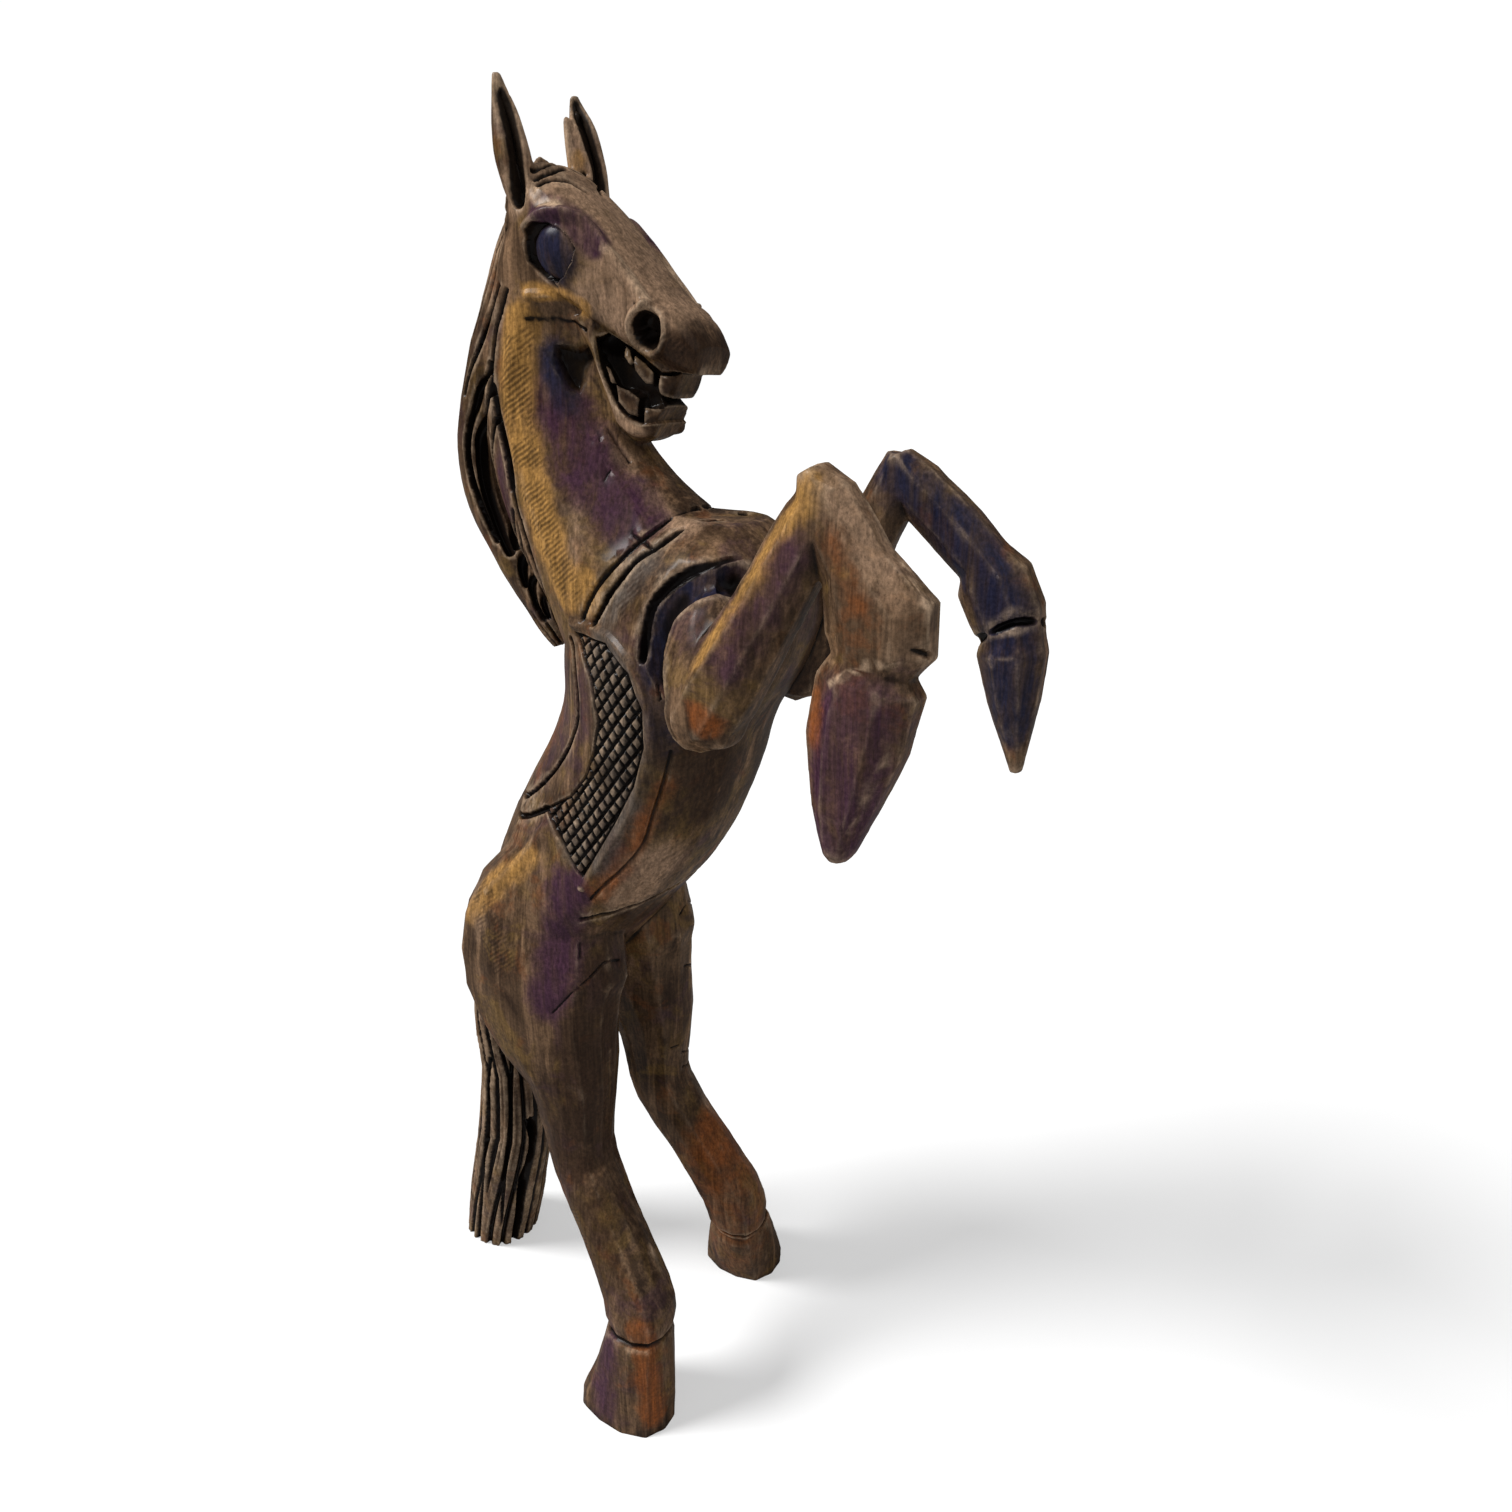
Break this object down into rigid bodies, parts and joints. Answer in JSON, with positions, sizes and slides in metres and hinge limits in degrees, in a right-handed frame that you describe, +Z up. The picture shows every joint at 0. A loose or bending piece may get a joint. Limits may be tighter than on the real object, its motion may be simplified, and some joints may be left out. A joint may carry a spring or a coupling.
{
  "type": "wooden horse sculpture",
  "caption": "Carved wooden rearing horse with saddle lattice, carved mane and a tail that reaches the floor, standing by its own weight.",
  "frame": {"origin": "middle of the bounding box at floor level, under the figure", "axes": "+Z up, +X towards the nose and forelegs, +Y towards the horse's left side"},
  "size_m": [0.8938, 0.4278, 1.6965],
  "materials": {
    "stained_wood": "hand-carved wood, dark brown and violet stain, satin varnish"
  },
  "bodies": {
    "root": {"horse": "stained_wood"}
  },
  "joints": []
}
